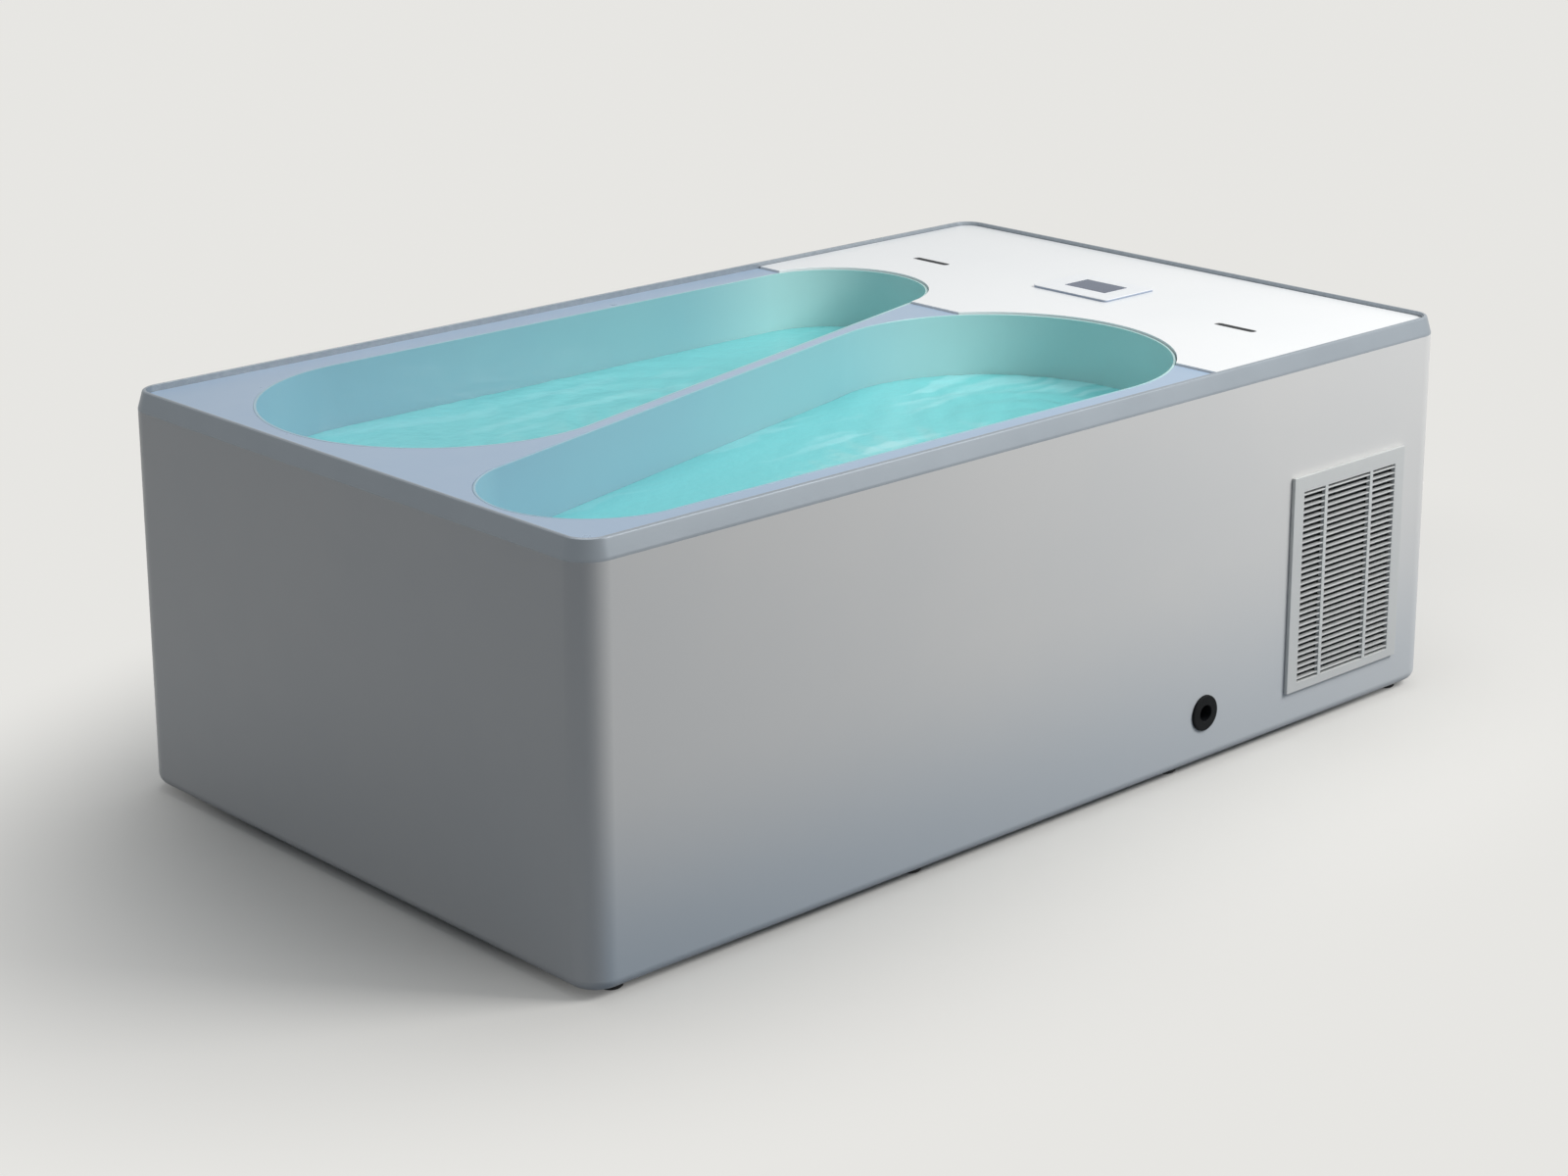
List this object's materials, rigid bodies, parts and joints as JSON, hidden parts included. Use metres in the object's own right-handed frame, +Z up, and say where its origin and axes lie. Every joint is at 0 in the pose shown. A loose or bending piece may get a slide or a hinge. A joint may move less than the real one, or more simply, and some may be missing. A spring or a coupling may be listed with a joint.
{
  "type": "cold plunge tub",
  "caption": "Twin-basin cold plunge tub in a rounded rectangular cabinet, with teardrop basins laid head to tail, a lift-off equipment lid, a vent grille and a drain port.",
  "frame": {"origin": "on the floor, under the middle of the cabinet", "axes": "+X along the tub towards the equipment end with the white lid, -Y out of the long face with the vent grille and the drain port, +Z up"},
  "size_m": [2.2, 1.3083, 0.77],
  "materials": {
    "rubber_black": "matte",
    "frame_steel": "satin",
    "cabinet_grey": "satin",
    "rim_grey": "satin",
    "bare_aluminium": "satin",
    "deck_pale": "gloss",
    "basin_liner": "gloss",
    "foam": "matte",
    "fitting_white": "satin",
    "strainer_steel": "satin",
    "lid_white": "satin",
    "cup_grey": "satin",
    "pad_white": "satin",
    "display_dark": "gloss",
    "board_green": "satin",
    "dark_plastic": "satin",
    "louvre_white": "satin",
    "filter_dark": "matte",
    "port_black": "satin",
    "pipe_grey": "satin",
    "brass": "polished",
    "lever_red": "gloss",
    "black_steel": "satin",
    "fin_aluminium": "satin",
    "shaft_steel": "polished",
    "copper": "satin",
    "housing_white": "satin",
    "filter_media": "matte",
    "box_grey": "satin"
  },
  "bodies": {
    "cabinet": {"support_pads": "rubber_black", "frame_rails": "frame_steel", "frame_crossbars": "frame_steel", "cabinet_shell": "cabinet_grey", "rim_trim": "rim_grey", "deck_ledge": "bare_aluminium", "lid_post": "bare_aluminium", "deck": "deck_pale", "basin_front": "basin_liner", "basin_rear": "basin_liner", "insulation_floor": "foam", "insulation_jacket": "foam", "floor_drains": "fitting_white", "drain_strainers": "strainer_steel", "suction_fittings": "fitting_white", "suction_covers": "fitting_white", "return_fittings": "fitting_white", "jet_nozzles": "fitting_white", "grille_grommets": "rubber_black", "drain_flange": "port_black", "drain_seal": "rubber_black", "drain_pipes": "pipe_grey", "valve_body": "dark_plastic", "suction_pipes": "pipe_grey", "delivery_pipes": "pipe_grey", "return_pipes": "pipe_grey", "equipment_tray": "bare_aluminium", "compressor": "black_steel", "compressor_mounts": "rubber_black", "condenser": "fin_aluminium", "fan_shroud": "dark_plastic", "fan_motor": "black_steel", "refrigerant_lines": "copper", "heat_exchanger": "housing_white", "pump_volute": "dark_plastic", "pump_motor": "black_steel", "pump_cradle": "dark_plastic", "filter_housing": "housing_white", "filter_cartridge": "filter_media", "control_box": "box_grey", "control_box_cover": "box_grey", "ozone_unit": "dark_plastic", "power_inlet": "port_black"},
    "equipment_lid": {"lid": "lid_white", "lid_gasket": "rubber_black", "lid_battens": "bare_aluminium", "slot_cups": "cup_grey", "control_pad": "pad_white", "display_glass": "display_dark", "display_board": "board_green", "display_housing": "dark_plastic"},
    "vent_grille": {"grille_panel": "louvre_white", "dust_filter": "filter_dark"},
    "condenser_fan": {"fan_rotor": "dark_plastic", "fan_shaft": "shaft_steel"},
    "drain_valve": {"valve_ball": "brass", "valve_lever": "lever_red"},
    "circulation_impeller": {"pump_impeller": "fitting_white"},
    "filter_lock_cap": {"filter_cap": "dark_plastic"}
  },
  "joints": [
    {"name": "lid_lift", "type": "slide", "parent": "cabinet", "child": "equipment_lid", "axis": [0, 0, 1], "range_m": [0, 0.5]},
    {"name": "grille_pull", "type": "slide", "parent": "cabinet", "child": "vent_grille", "axis": [0, -1, 0], "range_m": [0, 0.06]},
    {"name": "fan_spin", "type": "hinge", "parent": "cabinet", "child": "condenser_fan", "pos_m": [0.8125, -0.52, 0.315], "axis": [0, -1, 0], "continuous": true},
    {"name": "impeller_spin", "type": "hinge", "parent": "cabinet", "child": "circulation_impeller", "pos_m": [0.784, -0.11, 0.15], "axis": [0, -1, 0], "continuous": true},
    {"name": "drain_valve_turn", "type": "hinge", "parent": "cabinet", "child": "drain_valve", "pos_m": [0.64, -0.4, 0.093], "axis": [0, 0, -1], "range_deg": [0, 90]},
    {"name": "filter_cap_turn", "type": "hinge", "parent": "cabinet", "child": "filter_lock_cap", "pos_m": [0.819, 0.42, 0.55], "axis": [0, 0, 1], "range_deg": [0, 90]}
  ]
}
